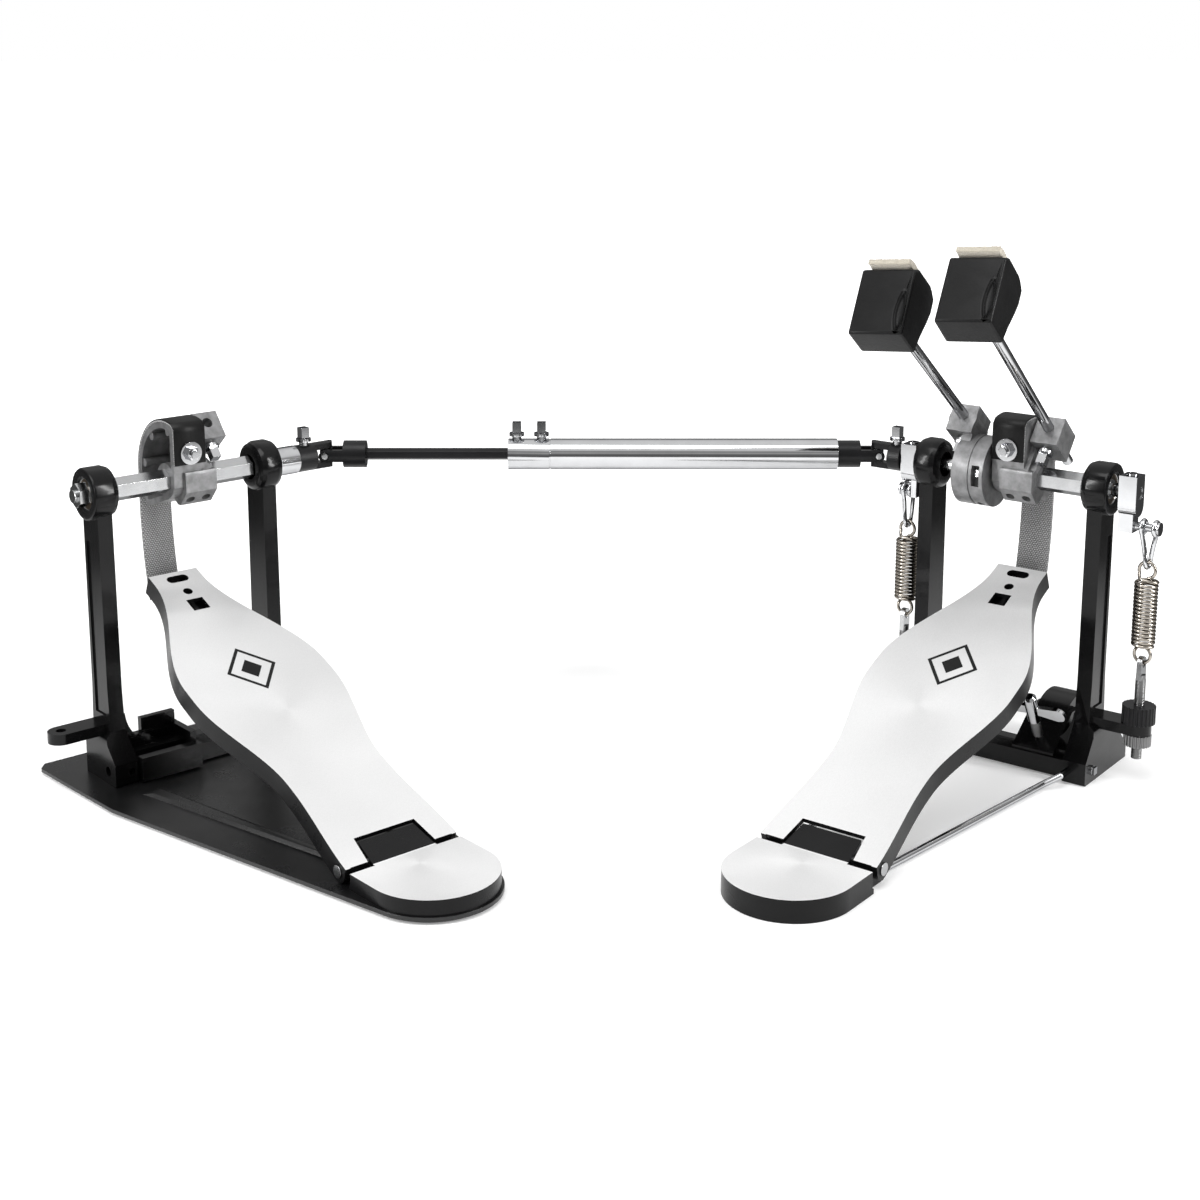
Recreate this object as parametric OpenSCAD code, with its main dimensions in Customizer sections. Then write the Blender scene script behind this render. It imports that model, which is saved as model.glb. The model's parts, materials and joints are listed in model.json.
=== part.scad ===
// Double bass drum pedal: a main pedal with two beaters (right) and a slave
// pedal (left) that drives the second beater through a telescopic shaft.
// Pedal frames: x = across (u), y = towards the drum (v), z = up (w), with the
// ground point under the middle of the axle as their origin.

/* [Layout] */
// Height of the beater axles over the floor
axle_h = 180; // [170:1:190]
// Distance of each pedal's axle centre from the middle of the whole object
pedal_x = 256.7; // [240:0.1:280]
// Outward turn of the slave pedal's footboard
slave_yaw = 41.1; // [30:0.1:45]
// Outward turn of the main pedal's footboard
main_yaw = -37.6; // [-45:0.1:-30]
// Offset of the universal joint from the slave axle's centre
slave_joint_u = 105; // [98:0.5:112]
// Offset of the universal joint from the main axle's centre
main_joint_u = -97; // [-100:0.5:-94]

/* [Frame] */
// Offset of each post from the pedal's centre line
post_u = 56; // [54:0.5:58]
// Width of a post, across
post_t = 9.5; // [9:0.5:12]
// Outer diameter of a bearing housing
housing_d = 32; // [30:0.5:34]
// Outer diameter of a ball bearing
bearing_d = 22; // [22:0.5:22]
// Offset of the spring from the centre line, outer side
outer_spring_u = 87; // [86:0.5:88]
// Offset of the spring from the centre line, inner side
inner_spring_u = 73; // [72.5:0.5:73.5]
// Outer face of an outer foot
foot_u = 66; // [64:0.5:68]

/* [Footboard] */
// Tilt of the resting footboard
board_angle = 22.7; // [20:0.1:25]
// Length of the footboard from the heel plate to the toe
board_len = 268; // [260:1:275]
// Half width of the footboard at its widest
board_belly = 46.5; // [42:0.5:48]
// Half width of the footboard at the waist
board_waist = 31.5; // [30.5:0.5:33]
// Half width of the footboard at the heel
board_heel = 36.4; // [35:0.1:38]
// Half width of the footboard at the toe
board_toe = 16.6; // [15:0.1:18]
// Depth of the footboard's side skirts
skirt_h = 12; // [10:0.5:13]
// Height of the heel plate's top over the floor
heel_top = 13; // [12:0.5:14]
// Length of the heel plate behind the footboard
heel_len = 62; // [58:1:66]

/* [Axle and cam] */
// Size across flats of the hexagonal axle
hex_af = 12.7; // [12:0.1:13]
// Diameter of the turned axle ends
journal_d = 7.94; // [7.94:0.01:7.94]
// Outer radius of the cam's rim
cam_r = 33.5; // [32:0.5:34]
// Width of the cam and of the strap
strap_w = 21; // [18:0.5:22]
// Thickness of the strap
strap_t = 2; // [1.6:0.1:2.4]
// Radius from the axle to the spring pin
crank_r = 20; // [18:0.5:22]

/* [Beaters] */
// Backward lean of the right beater at rest
right_lean = 50; // [40:1:55]
// Backward lean of the left beater at rest
left_lean = 53; // [40:1:55]
// Diameter of a beater rod
rod_d = 6.5; // [6:0.1:8]
// Distance of the beater rod's line from the axle
rod_off = 25; // [24:0.5:26]
// Reach of the right beater's head along its rod
right_reach = 146; // [140:1:165]
// Reach of the left beater's head along its rod
left_reach = 137; // [130:0.5:155]
// Width of a beater head
head_w = 34; // [32:1:36]
// Twist of the heads on their rods
head_twist = 5.2; // [0:0.1:15]

/* [Drive shaft] */
// Diameter of the chrome tube
tube_d = 20; // [18:0.5:22]
// Size across flats of the sliding rod
slide_af = 7; // [6:0.1:8]

/* [Hidden] */
$fn = 64;

shaft_y = 142.72;                                   // line of the drive shaft
shift_x = 4.2;                                      // brings the whole object's middle to x = 0
slave_y = shaft_y - slave_joint_u * sin(slave_yaw);
main_y = shaft_y - main_joint_u * sin(main_yaw);
slave_x = -pedal_x + shift_x;
main_x = pedal_x + shift_x;
slave_joint_x = slave_x + slave_joint_u * cos(slave_yaw);
main_joint_x = main_x + main_joint_u * cos(main_yaw);
fit = 0.05;                                         // radial running clearance
journal_r = journal_d / 2;
bearing_r = bearing_d / 2;
housing_len = 17;
housing_end = post_u + housing_len / 2;
hinge_v = -230.4;                                   // rear top edge of the board
pin_t = 8;                                          // hinge pin, in the board's frame
pin_z = -6;
pin_v = hinge_v + pin_t * cos(board_angle) - pin_z * sin(board_angle);
pin_w = heel_top + pin_t * sin(board_angle) + pin_z * cos(board_angle);
inner_foot = 64;                                    // outer face of an inner foot
plate_h = 4;                                        // top of the slave's base plate
pad_h = 1.5;
lug_w = 32;                                         // underside of a spring lug
lug_t = 6.6;
pin_r = 2.5;                                        // spring pin
eye_w = 76.4;                                       // centre of a stud's eye
spring_r = 7.2;
ring_r = 5;
wire_r = 1;
bore_screw = 3;
clamp_u = 29;                                       // middle of the hoop clamp
rocker_v = 12;
rocker_w = 24;
wing_tilt = 29;
cam_up = 2.5;                                       // arc centre over the axle
cam_flat = -11;                                     // flat player side of the cam
cam_hub_in = -10.4;
rod_u = 20;
hub_rod_u = -35;
drum_r = 22;
drum_in = -33;
drum_mid = -22;
drum_out = -12;
cap_mid = (drum_mid + drum_out) / 2;
tube_in = -55.2;
tube_out = 157.8;
tube_seam = -28.2;

black = [0.07, 0.07, 0.07];
chrome = [0.85, 0.86, 0.88];
steel = [0.72, 0.73, 0.75];
cast = [0.6, 0.6, 0.6];
bright = [0.88, 0.88, 0.87];
cream = [0.87, 0.82, 0.71];
grey = [0.5, 0.5, 0.5];

// ---------- placing ----------
module at_slave() translate([slave_x, slave_y, 0]) rotate(slave_yaw) children();
module at_main() translate([main_x, main_y, 0]) rotate(main_yaw) children();
module on_axle() translate([0, 0, axle_h]) children();
module on_board() translate([0, hinge_v, heel_top]) rotate([board_angle, 0, 0]) children();
// Beater frame: x = across, y = away from the axle, z = along the rod
module on_lean(u, angle) translate([u, 0, axle_h]) rotate([angle, 0, 0]) children();
// A side profile drawn as (v, w), from u0 over a thickness t
module side(u0, t) translate([u0, 0, 0]) rotate([90, 0, 90]) linear_extrude(t) children();
// A front profile drawn as (u, w), from v0 forwards over a thickness t
module front(v0, t) translate([0, v0 + t, 0]) rotate([90, 0, 0]) linear_extrude(t) children();
module rod_x(x0, len, r) translate([x0, 0, 0]) rotate([0, 90, 0]) cylinder(h = len, r = r);
module hex_x(x0, len, af) translate([x0, 0, 0]) rotate([0, 90, 0])
    cylinder(h = len, d = af / cos(30), $fn = 6);
module box(x0, x1, y0, y1, z0, z1) translate([x0, y0, z0]) cube([x1 - x0, y1 - y0, z1 - z0]);
module ring(big, small) rotate_extrude() translate([big, 0]) circle(r = small, $fn = 24);
// A straight wire between two points
module wire(a, b, r) {
    d = b - a;
    translate(a) rotate([0, acos(d.z / norm(d)), atan2(d.y, d.x)]) cylinder(h = norm(d), r = r, $fn = 24);
}
// A square-headed key bolt along -z: head below, thread above the origin
module key_bolt(thread, shank) {
    translate([0, 0, -1]) cylinder(h = thread + 1, r = bore_screw - fit);
    translate([0, 0, -1 - shank]) cylinder(h = shank, r = 3.4);
    translate([0, 0, -3 - shank]) cylinder(h = 2, r = 4.8);
    translate([-2.8, -2.8, -10 - shank]) cube([5.6, 5.6, 7]);
}

// ---------- frame ----------
module housing(flat_out) {
    h = housing_len / 2;
    dome = flat_out ? housing_d / 2 - 1.5 : housing_d / 2 - 4;
    translate([post_u, 0, axle_h]) rotate([0, 90, 0]) rotate_extrude()
        polygon([[0, -h], [housing_d / 2 - 4, -h], [housing_d / 2 - 1.4, -h + 1.6],
            [housing_d / 2, -h + 5], [housing_d / 2, h - (flat_out ? 1.5 : 5)],
            [flat_out ? dome + 1 : housing_d / 2 - 1.4, h - (flat_out ? 0.5 : 1.6)], [dome, h], [0, h]]);
}
// One upright with its foot, on the +u side, standing at height z0; the foot's
// outer face lies at spread and it reaches that far towards the drum
module upright(z0, flat_out, spread, reach) {
    top = axle_h - housing_d / 2 + 4;
    housing(flat_out);
    side(post_u - post_t / 2, post_t)
        polygon([[-9.5, top], [9.5, top], [10, 60], [11.5, lug_w], [11.5, z0], [-11.5, z0],
            [-11.5, lug_w], [-10, 60]]);
    intersection() {
        front(-30, 80) polygon([[post_u - post_t / 2, 62], [post_u + post_t / 2, 62],
            [post_u + post_t / 2, lug_w + 2], [spread - 1, lug_w - 1], [spread, lug_w - 4], [spread, z0],
            [spread - 15, z0], [spread - 15, z0 + 14], [post_u - post_t / 2, z0 + 24]]);
        side(40, 50) polygon([[-25, z0], [-26, z0 + 1.5], [-26, z0 + 14], [-24.5, z0 + 16], [-11.5, 34],
            [-10, 60], [10, 60], [11.5, 33], [reach, z0 + 9], [reach, z0]]);
    }
}
module upright_cuts(z0, spread) {
    on_axle() rod_x(post_u - 12, 24, 8);
    on_axle() rod_x(post_u - 0.5, 12, bearing_r);
    // shallow panel in the outer face
    box(post_u + post_t / 2 - 1, post_u + post_t / 2 + 1, -7, 7, 43, 150);
    // cross hole for the radius rod's screw, and the rod's own bore
    translate([0, -16.5, z0 + 8]) rod_x(spread - 11, 14, bore_screw);
    translate([spread - 11, -37, z0 + 8]) rotate([-90, 0, 0]) cylinder(h = 25, r = 2 + fit);
}
module lug(reach) {
    box(post_u + 3, reach, -8, 8, lug_w, lug_w + lug_t);
    translate([reach, 0, lug_w]) cylinder(h = lug_t, r = 8);
}
module cross_member(z0) {
    difference() {
        union() {
            box(-post_u, post_u, -22, -2, z0 + 1, z0 + 12);
            box(-post_u, post_u, -16, -8, z0 + 12, z0 + 16);
            for (s = [-1, 1]) front(-10, 20)
                polygon([[s * (post_u - 5), z0 + 8], [s * 26, z0 + 8],
                    [s * 26, z0 + 15], [s * (post_u - 5), z0 + 40]]);
        }
        for (s = [-1, 1]) translate([s * 24, -12, z0 + 41]) rotate([-90, 0, 0]) cylinder(h = 24, r = 26.2);
    }
}
// The casting: two uprights, cross member and lugs; the outer side is +u
module casting(z0, inner_lug, reach) difference() {
    union() {
        upright(z0, true, foot_u, reach);
        mirror([1, 0, 0]) upright(z0, false, inner_foot, reach);
        cross_member(z0);
        lug(outer_spring_u);
        if (inner_lug) mirror([1, 0, 0]) lug(inner_spring_u);
    }
    upright_cuts(z0, foot_u);
    mirror([1, 0, 0]) upright_cuts(z0, inner_foot);
    translate([outer_spring_u, 0, lug_w - 1]) cylinder(h = lug_t + 2, r = bore_screw + fit);
    if (inner_lug) translate([-inner_spring_u, 0, lug_w - 1]) cylinder(h = lug_t + 2, r = bore_screw + fit);
}
module bearing_pair() for (s = [-1, 1]) on_axle() difference() {
    rod_x(s > 0 ? post_u - 0.5 : -post_u - 6.5, 7, bearing_r);
    rod_x(s * post_u - 12, 24, journal_r + fit - 0.02);
    for (e = [-1, 1]) translate([s * (post_u + 3) + e * 3.5, 0, 0]) rotate([0, 90, 0])
        difference() {
            cylinder(h = 1.2, r = 9.2, center = true);
            cylinder(h = 1.4, r = 6, center = true);
        }
}

// ---------- heel plates and footboards ----------
module heel_outline() {
    translate([-board_heel, hinge_v - heel_len + board_heel])
        square([2 * board_heel, heel_len - board_heel]);
    translate([0, hinge_v - heel_len + board_heel]) circle(r = board_heel);
}
module heel_plate(z0) difference() {
    union() {
        difference() {
            translate([0, 0, z0]) linear_extrude(heel_top - z0) heel_outline();
            // clearance for the board's rear corners
            translate([0, pin_v, pin_w]) rod_x(-40, 80, 11.5);
            box(-60, 60, hinge_v - 1.4, 0, z0 + 3, heel_top + 1);
        }
        // hinge block between the skirts, and the tongue on top
        box(-board_heel + 4.2, board_heel - 4.2, hinge_v - 8, pin_v + 6, z0, pin_w + 0.5);
        intersection() {
            linear_extrude(30) polygon([[-21, hinge_v - 6], [-18.4, -213], [18.4, -213], [21, hinge_v - 6]]);
            side(-22, 44) polygon([[hinge_v - 6, z0], [hinge_v - 6, heel_top], [hinge_v + 0.5, heel_top],
                [-213, 19.3], [-211.5, 14.5], [-209, z0]]);
        }
    }
    translate([0, pin_v, pin_w]) rod_x(-60, 120, 2.5);
    if (z0 > 0) box(-60, 60, -400, 0, -1, z0);
}
// Half width of the footboard at a distance t from its rear edge
function smooth(x) = x <= 0 ? 0 : x >= 1 ? 1 : x * x * (3 - 2 * x);
function half_at(t) = t < 150
    ? board_heel - (board_heel - board_waist) * smooth(t / 68)
        + (board_belly - board_waist) * smooth((t - 72) / 78)
    : board_belly - (board_belly - board_toe) * smooth((t - 162) / 98);
board_steps = [for (t = [0 : 5 : 265]) t];
module board_outline(inset) {
    right = [for (t = concat(board_steps, [board_len])) [half_at(t) - inset, t]];
    left = [for (p = right) [-p.x, p.y]];
    polygon(concat(right, [for (i = [len(left) - 1 : -1 : 0]) left[i]]));
}
module footboard() on_board() difference() {
    union() {
        difference() {
            translate([0, 0, -skirt_h]) linear_extrude(skirt_h) board_outline(0);
            translate([0, 0, -skirt_h - 1]) linear_extrude(skirt_h - 2) intersection() {
                board_outline(3);
                translate([-60, -10]) square([120, board_len + 7]);
            }
        }
        // bracket under the toe that holds the strap
        box(-12, 12, board_len - 14, board_len + 4, -skirt_h - 2, -4);
        box(-12, 12, board_len - 46, board_len - 13, -skirt_h, -7);
        translate([0, board_len - 40, -8]) cube([3, 70, 10], center = true);
    }
    // open rear edge around the heel plate's tongue
    translate([0, 0, -skirt_h - 2]) linear_extrude(skirt_h + 4)
        polygon([[-22.5, -1], [-19.8, 21], [19.8, 21], [22.5, -1]]);
    translate([0, -0.1, -skirt_h - 2]) cube([2 * 33.2, 6, 40], center = true);
    // rounded rear ends of the skirts
    difference() {
        box(-60, 60, -6, pin_t, -skirt_h - 3, 1);
        translate([0, pin_t, pin_z]) rod_x(-50, 100, 6.4);
        box(-60, 60, 2.5, pin_t, -3, 2);
    }
    translate([0, pin_t, pin_z]) rod_x(-60, 120, 2.5 + fit);
    // slot, round hole and square hole at the toe
    for (x = [-4, 4]) translate([x, board_len - 7, -8]) cylinder(h = 10, r = 3.2);
    translate([0, board_len - 7, 0]) cube([8, 6.4, 8], center = true);
    translate([0, board_len - 20.5, -6]) cylinder(h = 8, r = 3);
    translate([0, board_len - 34, 0]) cube([11, 11, 8], center = true);
}
module hinge_pin() translate([0, pin_v, pin_w]) {
    rod_x(-board_heel + 0.8, 2 * board_heel - 1.6, 2.5);
    for (s = [-1, 1]) rod_x(s * (board_heel + 0.4) - 0.4, 0.8, 3.6);
}

// ---------- axle, cam and strap ----------
module cam_shape(inset) translate([0, axle_h]) intersection() {
    translate([0, cam_up]) circle(r = cam_r - inset, $fn = 128);
    polygon([[cam_flat + inset, 50], [cam_flat + inset, -3 + inset], [-3, -11 + inset],
        [38, -25 + inset], [50, 50]]);
}
module set_screw_block(u0, u1) difference() {
    side(u0, u1 - u0) translate([0, axle_h]) polygon([[-13, 6], [-13.6, 4], [-13.6, -6.5], [-5.4, -15.5],
        [-2, -15.5], [6, -10], [6, 6]]);
    on_axle() rotate([48, 0, 0]) for (u = [u0 + 5.2, u1 - 5.2])
        translate([u, -15.5, -1.6]) rotate([-90, 0, 0]) cylinder(h = 5, r = 2.8);
}
// Block that grips a beater rod, in the beater frame, centred on the rod
module clamp_block(len0, len1, half, rounded) difference() {
    union() {
        box(-half, half, rod_off - 11, rod_off + 7.5, len0, len1);
        if (rounded) translate([0, rod_off - 2, len0]) cylinder(h = len1 - len0, r = half + 0.5);
    }
    translate([0, rod_off, len0 - 1]) cylinder(h = len1 - len0 + 2, r = rod_d / 2 + fit);
    translate([0, rod_off - 12, 13]) rotate([-90, 0, 0]) cylinder(h = 12, r = bore_screw);
}
module cam() difference() {
    union() {
        difference() {
            side(-strap_w / 2, strap_w) cam_shape(0);
            side(-strap_w / 2 - 1, strap_w - 2) cam_shape(3.6);
        }
        // bosses inside the rim
        for (a = [8, 52, 96]) translate([0, 0, axle_h + cam_up]) rotate([a, 0, 0])
            translate([0, cam_r - 5, 0]) rod_x(-strap_w / 2 + 1, strap_w - 2, 2.6);
        on_axle() rod_x(cam_hub_in, 17 - cam_hub_in, 10.8);
        set_screw_block(-4, 17);
        on_lean(rod_u, right_lean) clamp_block(-1, 20, 8.7, false);
        on_lean(0, right_lean) box(8.5, 13.5, -4, rod_off - 8, -12, 13);
    }
    on_axle() hex_x(-12, 31, hex_af + 2 * fit);
    translate([0, cam_flat - 1, axle_h + 18]) rotate([-90, 0, 0]) cylinder(h = 8, r = bore_screw);
}
module cam_bolt() translate([0, cam_flat - strap_t - 0.1, axle_h + 18]) rotate([-90, 0, 0]) {
    cylinder(h = 9, r = bore_screw);
    translate([0, 0, -1.4]) cylinder(h = 1.4, r = 7);
    translate([0, 0, -5]) cylinder(h = 4, r = 4.4, $fn = 6);
    translate([0, 0, -7]) cylinder(h = 3, r = 2.6);
}
module strap() difference() {
    side(-strap_w / 2, strap_w) translate([0, axle_h]) {
        intersection() {
            translate([0, cam_up]) difference() {
                circle(r = cam_r + strap_t, $fn = 128);
                circle(r = cam_r + 0.05, $fn = 128);
            }
            translate([cam_flat - strap_t, 0]) square([60, 60]);
        }
        translate([cam_flat - strap_t, 11]) square([strap_t - 0.05, 25.4]);
        polygon([[cam_r + 0.15, 2.5], [cam_r + strap_t, 2.5], [31, -82], [29, -82]]);
    }
    translate([0, cam_flat - 4, axle_h + 18]) rotate([-90, 0, 0]) cylinder(h = 6, r = bore_screw);
}
module clamp_bolt(u, angle) on_lean(u, angle) translate([0, rod_off - 11, 13])
    rotate([-90, 0, 0]) key_bolt(7, 1);
module nut_m8(u) on_axle() {
    hex_x(u, 6.4, 13);
    rod_x(u, 8.4, 4);
}

// ---------- beaters ----------
module beater_rod(u, angle, reach) on_lean(u, angle) {
    translate([0, rod_off, -21]) cylinder(h = reach + 21 + 19, r = rod_d / 2);
    translate([0, rod_off, -22]) cylinder(h = 1, r1 = rod_d / 2 - 0.8, r2 = rod_d / 2);
}
module on_head(u, angle, reach) on_lean(u, angle) translate([0, rod_off, reach])
    rotate(head_twist) children();
module beater_head(u, angle, reach) on_head(u, angle, reach) difference() {
    side(-head_w / 2, head_w) polygon([[-19.5, 0.5], [-19.2, 21.5], [21, 24.6], [24, 20], [24, 2],
        [22.6, -1.5], [20.2, -4.6], [16.5, -6.6], [11, -7], [3, -5.2], [-8, -1.8]]);
    translate([0, 0, -9]) cylinder(h = 29, r = rod_d / 2 + fit);
    // lens-shaped recess beside the edge of the end face
    translate([12.3, -4.5, 20.8]) rotate([4.4, 0, 0]) linear_extrude(6) intersection() {
        translate([32.4, 0]) circle(r = 35);
        translate([-32.4, 0]) circle(r = 35);
    }
}
module beater_felt(u, angle, reach) on_head(u, angle, reach)
    side(-13, 26) polygon([[24, 2], [24, 27], [25.6, 27], [28.6, 23], [28.6, 5], [26.5, 2]]);

// ---------- universal joints and drive shaft ----------
// A yoke along +x whose fork ends at the joint's centre; the fork's pin is along z
module yoke(back, bore) difference() {
    union() {
        rod_x(-back, back - 11.5, 8.8);
        intersection() {
            rod_x(-12.5, 17, 8.8);
            union() for (s = [-1, 1]) {
                box(-12.5, 0, -3.8, 3.8, s > 0 ? 4.3 : -9, s > 0 ? 9 : -4.3);
                translate([0, 0, s > 0 ? 4.3 : -9]) cylinder(h = 4.7, r = 3.8);
            }
        }
    }
    translate([0, 0, -10]) cylinder(h = 20, r = bore);
    rod_x(-back - 1, 9, journal_r);
}
module spider() {
    cube(7.4, center = true);
    cylinder(h = 17, r = 2, center = true);
    rotate([90, 0, 0]) cylinder(h = 17, r = 2, center = true);
}
module at_slave_joint() at_slave() translate([slave_joint_u, 0, axle_h]) children();
module at_main_joint() at_main() translate([main_joint_u, 0, axle_h]) mirror([1, 0, 0]) children();
module spider_turned(turn) rotate(turn) spider();
module top_bolt() rotate([180, 0, 0]) key_bolt(5, 0.5);

// ---------- springs ----------
module crank(u_in, u_out, arm, pin_to) {
    difference() {
        union() {
            on_axle() box(u_in, u_out, -6.5, 6.5, -8, 10.5);
            on_axle() translate([0, 0, -8]) rod_x(u_in, u_out - u_in, 6.5);
            on_axle() box(u_in, u_in + arm, -4.5, 4.5, -crank_r - 4, 0);
            on_axle() translate([(u_in + u_out) / 2, 0, 10]) cylinder(h = 1.6, r = 3.4);
        }
        on_axle() rod_x(u_in - 1, u_out - u_in + 2, journal_r);
        on_axle() translate([(u_in + u_out) / 2, 0, 9.5]) cylinder(h = 3, r = 1.7, $fn = 6);
    }
    on_axle() translate([0, 0, -crank_r]) {
        rod_x(u_in + 2, pin_to - u_in - 2, pin_r);
        rod_x(pin_to, 1.6, 4.2);
    }
}
module link(u, half) translate([u, 0, axle_h - crank_r]) {
    difference() {
        for (s = [-1, 1]) rod_x(s * half - 0.9, 1.8, 4.4);
        rod_x(-10, 20, pin_r + fit);
    }
    for (s = [-1, 1]) wire([s * half, 0, -4.3], [s * 1.1, 0, -17.4], 1.4);
    translate([0, 0, -21]) rotate([0, 90, 0]) ring(3.1, 1.4);
}
module coil(u, turns, top) {
    pitch = 2.45;
    translate([u, 0, top - turns * pitch]) rotate_extrude() polygon(concat(
        [[spring_r - 2 * wire_r, 0]],
        [for (i = [0 : turns - 1]) each [[spring_r - 0.6, i * pitch], [spring_r, (i + 0.5) * pitch]]],
        [[spring_r - 0.6, turns * pitch], [spring_r - 2 * wire_r, turns * pitch]]));
    translate([u, 0, top + ring_r + 0.8]) rotate([90, 0, 0]) ring(ring_r, wire_r);
}
module hook(u) translate([u, 0, eye_w + 0.1 + ring_r]) rotate([90, 0, 0]) ring(ring_r, wire_r);
// Threaded stud with an eye for the spring and its lower lock nut
module stud(u) {
    difference() {
        union() {
            translate([u, 0, 16]) cylinder(h = 53, r = bore_screw - fit);
            box(u - 1.5, u + 1.5, -4, 4, 66, eye_w);
            translate([0, 0, eye_w]) rod_x(u - 1.5, 3, 4);
        }
        for (z = [-0.5, 0.5]) translate([0, 0, eye_w + z]) rod_x(u - 5, 10, 2.3);
    }
    knurled(u, lug_w - 7.4, 7, 8.3);
}
module knurled(u, w0, h, r) translate([u, 0, w0]) difference() {
    cylinder(h = h, r = r);
    translate([0, 0, -1]) cylinder(h = h + 2, r = bore_screw);
    for (a = [0 : 15 : 345]) rotate(a) translate([r + 0.2, 0, -1]) cylinder(h = h + 2, r = 0.8, $fn = 16);
}

// ---------- slave pedal ----------
base_side = [82, -52];                              // corner where the taper starts
heel_mid = hinge_v - heel_len + board_heel;
module base_outline(inset) {
    r = board_heel + 1.5 - inset;
    reach = [base_side.x - inset, base_side.y - heel_mid];
    turn = atan2(reach.y, reach.x) - acos(r / norm(reach));
    sweep = 180 + 2 * turn;
    round_end = [for (i = [0 : 24]) let(a = turn - sweep * i / 24) [r * cos(a), heel_mid + r * sin(a)]];
    polygon(concat([[-81 + inset, 40 - inset], [81 - inset, 40 - inset], [86 - inset, 34],
        [reach.x, base_side.y]], round_end, [[-reach.x, base_side.y], [-86 + inset, 34]]));
}
module slave_base_plate() color(black) at_slave() {
    translate([0, 0, pad_h]) linear_extrude(plate_h - pad_h) base_outline(0);
    for (s = [-1, 1]) hull() {
        translate([0, 0, plate_h - 0.5]) linear_extrude(0.5)
            polygon([[s * 46, -40], [s * 58, -44], [s * 24, -196], [s * 19, -196]]);
        translate([0, 0, plate_h + 1.5]) linear_extrude(0.5)
            polygon([[s * 48, -48], [s * 55, -51], [s * 24, -188], [s * 21, -188]]);
    }
}
module slave_base_pad() color([0.1, 0.1, 0.1]) at_slave() linear_extrude(pad_h) base_outline(3);
module slave_frame() color(black) at_slave() mirror([1, 0, 0]) {
    casting(plate_h, false, 12);
    // open saddle on the cross member
    difference() {
        box(10, 50, -30, 8, plate_h + 1, plate_h + 19);
        box(14, 51, -24, 2, plate_h + 13, plate_h + 30);
        box(9, 51, -31, -23, plate_h + 16, plate_h + 30);
    }
    box(10, 33, 4, 8, plate_h + 18, plate_h + 28);
    box(10, 14, -23, 8, plate_h + 18, plate_h + 22);
}
module slave_heel_plate() color(bright) at_slave() heel_plate(plate_h);
module slave_bearings() color(steel) at_slave() mirror([1, 0, 0]) bearing_pair();
module slave_footboard() color(bright) at_slave() footboard();
module slave_hinge_pin() color(steel) at_slave() hinge_pin();
module slave_axle() color(steel) at_slave() {
    on_axle() hex_x(-post_u + 9, 2 * post_u - 18, hex_af);
    on_axle() rod_x(-68, 68 + 86, journal_r);
    mirror([1, 0, 0]) nut_m8(post_u + 7);
}
module slave_cam() color(cast) at_slave() cam();
module slave_cam_bolt() color(chrome) at_slave() cam_bolt();
module slave_strap() color(grey) at_slave() strap();
module slave_clamp_bolt() color(chrome) at_slave() clamp_bolt(rod_u, right_lean);
module slave_collar() color(chrome) at_slave() difference() {
    on_axle() rod_x(housing_end + 1, 15, 9);
    on_axle() rod_x(housing_end, 20, journal_r);
}
module slave_yoke() color(black) at_slave_joint() difference() {
    yoke(24.4, 2 + fit);
    translate([-17, 0, 0]) cylinder(h = 10, r = bore_screw);
}
module slave_yoke_bolt() color(chrome) at_slave_joint() translate([-17, 0, 9.4]) top_bolt();
module slave_cross() color(steel) at_slave_joint() spider_turned(-slave_yaw);
module rod_yoke() color(black) translate([slave_joint_x, shaft_y, axle_h])
    mirror([1, 0, 0]) rotate([90, 0, 0]) difference() {
        yoke(26, 2.6);
        rod_x(-30, 14, slide_af / 2 / cos(30) + 0.05);
    }
module drive_rod() color(black) translate([0, shaft_y, axle_h]) hex_x(slave_joint_x + 16.2, 190, slide_af);

// ---------- drive shaft, main side ----------
module drive_tube() color(chrome) translate([0, shaft_y, axle_h]) difference() {
    union() {
        rod_x(tube_in, tube_seam - 0.4 - tube_in, tube_d / 2);
        rod_x(tube_seam - 0.4, 0.8, tube_d / 2 - 0.5);
        rod_x(tube_seam + 0.4, tube_out - tube_seam - 0.4, tube_d / 2);
    }
    rod_x(tube_in - 1, 170, slide_af / 2 / cos(30) + 0.2);
    for (x = [tube_in + 5.5, tube_in + 21.5]) translate([x, 0, 0]) cylinder(h = 20, r = bore_screw);
}
module tube_bolts() color(chrome) for (x = [tube_in + 5.5, tube_in + 21.5])
    translate([x, shaft_y, axle_h + tube_d / 2 + 0.6]) top_bolt();
module tube_yoke() color(black) translate([main_joint_x, shaft_y, axle_h]) rotate([90, 0, 0])
    yoke(main_joint_x - tube_out, 2.6);
module main_cross() color(steel) at_main_joint() spider_turned(main_yaw);
module hub_yoke() color(black) at_main_joint() difference() {
    yoke(20, 2 + fit);
    translate([-14.5, 0, 0]) cylinder(h = 10, r = bore_screw);
}
module hub_yoke_bolt() color(chrome) at_main_joint() translate([-14.5, 0, 9.4]) top_bolt();
module stub_shaft() color(steel) at_main() on_axle() rod_x(-85, 85 - 26, journal_r);
module inner_crank() color(chrome) at_main() mirror([1, 0, 0]) crank(65.6, 76.2, 3.6, 77);
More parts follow.
